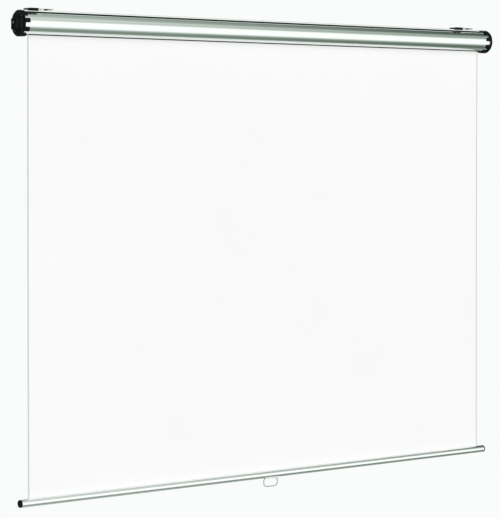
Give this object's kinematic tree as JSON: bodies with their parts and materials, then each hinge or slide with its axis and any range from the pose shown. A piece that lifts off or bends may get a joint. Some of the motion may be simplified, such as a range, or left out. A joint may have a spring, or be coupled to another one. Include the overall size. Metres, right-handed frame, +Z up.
{
  "type": "pull-down projector screen",
  "caption": "Manual pull-down projector screen: white sheet on a spring roller in a round aluminium case, with a round bottom bar, pull handle and sliding ceiling brackets.",
  "frame": {"origin": "on the ceiling plane that the bracket pads touch, above the middle of the case", "axes": "+X along the case to the viewer's right, +Y away from the viewer, +Z up"},
  "size_m": [2.1046, 0.086, 1.6416],
  "materials": {
    "anodised_aluminium": "satin",
    "roller_aluminium": "matte",
    "bright_steel": "satin",
    "spring_steel": "satin",
    "zinc_plate": "satin",
    "black_steel": "satin",
    "black_plastic": "matte",
    "grey_nylon": "matte",
    "white_fabric": "matte",
    "pale_plastic": "gloss"
  },
  "bodies": {
    "case": {"case_tube": "anodised_aluminium", "slot_guide_rear": "black_plastic", "slot_guide_front": "black_plastic", "end_cap_left": "black_plastic", "end_cap_right": "black_plastic", "cap_screw_left_1": "black_steel", "cap_screw_left_2": "black_steel", "cap_screw_left_3": "black_steel", "cap_screw_right_1": "black_steel", "cap_screw_right_2": "black_steel", "cap_screw_right_3": "black_steel", "idle_bush": "grey_nylon", "spring_spear": "bright_steel", "ratchet_wheel": "bright_steel", "spring_anchor": "grey_nylon", "torsion_spring": "spring_steel", "sheet_lead": "white_fabric", "screen_sheet": "white_fabric"},
    "roller": {"roller_tube": "roller_aluminium", "roller_head_plug": "grey_nylon", "roller_idle_plug": "grey_nylon", "idle_pin": "bright_steel", "pawl_pin_upper": "bright_steel", "pawl_pin_lower": "bright_steel", "fabric_roll": "white_fabric"},
    "pawl_upper": {"pawl_upper": "bright_steel"},
    "pawl_lower": {"pawl_lower": "bright_steel"},
    "bar": {"bottom_bar": "anodised_aluminium", "hem_rod": "white_fabric", "bar_plug_left": "black_plastic", "bar_plug_right": "black_plastic", "handle_clip": "pale_plastic", "clip_screw_left": "bright_steel", "clip_screw_right": "bright_steel"},
    "handle": {"pull_handle": "pale_plastic"},
    "bracket_left": {"bracket_left_plate": "zinc_plate", "bracket_left_block": "black_plastic", "bracket_left_adjuster": "bright_steel", "bracket_left_foot": "bright_steel", "bracket_left_stud_1": "bright_steel", "bracket_left_stud_2": "bright_steel", "bracket_left_lever_pin": "bright_steel"},
    "lever_left": {"lever_left": "black_plastic"},
    "bracket_right": {"bracket_right_plate": "zinc_plate", "bracket_right_block": "black_plastic", "bracket_right_adjuster": "bright_steel", "bracket_right_foot": "bright_steel", "bracket_right_stud_1": "bright_steel", "bracket_right_stud_2": "bright_steel", "bracket_right_lever_pin": "bright_steel"},
    "lever_right": {"lever_right": "black_plastic"}
  },
  "joints": [
    {"name": "bar_travel", "type": "slide", "parent": "case", "child": "bar", "axis": [0, 0, 1], "range_m": [0, 1.49], "deforming": ["screen_sheet"]},
    {"name": "roller_spin", "type": "hinge", "parent": "case", "child": "roller", "pos_m": [0, 0.009, -0.0481], "axis": [-1, 0, 0], "range_deg": [0, 4290]},
    {"name": "pawl_upper_swing", "type": "hinge", "parent": "roller", "child": "pawl_upper", "pos_m": [-1.0101, -0.001, -0.0371], "axis": [1, 0, 0], "range_deg": [0, 20]},
    {"name": "pawl_lower_swing", "type": "hinge", "parent": "roller", "child": "pawl_lower", "pos_m": [-1.0101, 0.019, -0.0591], "axis": [1, 0, 0], "range_deg": [0, 20]},
    {"name": "handle_swing", "type": "hinge", "parent": "bar", "child": "handle", "pos_m": [0, 0.0025, -1.6139], "axis": [1, 0, 0], "range_deg": [-120, 120]},
    {"name": "bracket_left_travel", "type": "slide", "parent": "case", "child": "bracket_left", "axis": [1, 0, 0], "range_m": [-0.024, 0.9]},
    {"name": "lever_left_turn", "type": "hinge", "parent": "bracket_left", "child": "lever_left", "pos_m": [-0.932, 0, -0.0077], "axis": [0, 0, 1], "range_deg": [-90, 0]},
    {"name": "bracket_right_travel", "type": "slide", "parent": "case", "child": "bracket_right", "axis": [1, 0, 0], "range_m": [-0.83, 0.06]},
    {"name": "lever_right_turn", "type": "hinge", "parent": "bracket_right", "child": "lever_right", "pos_m": [0.944, 0, -0.0077], "axis": [0, 0, 1], "range_deg": [-90, 0]}
  ],
  "couplings": [
    {"joint": "roller_spin", "follows": "bar_travel", "rad_per_m": 50}
  ]
}
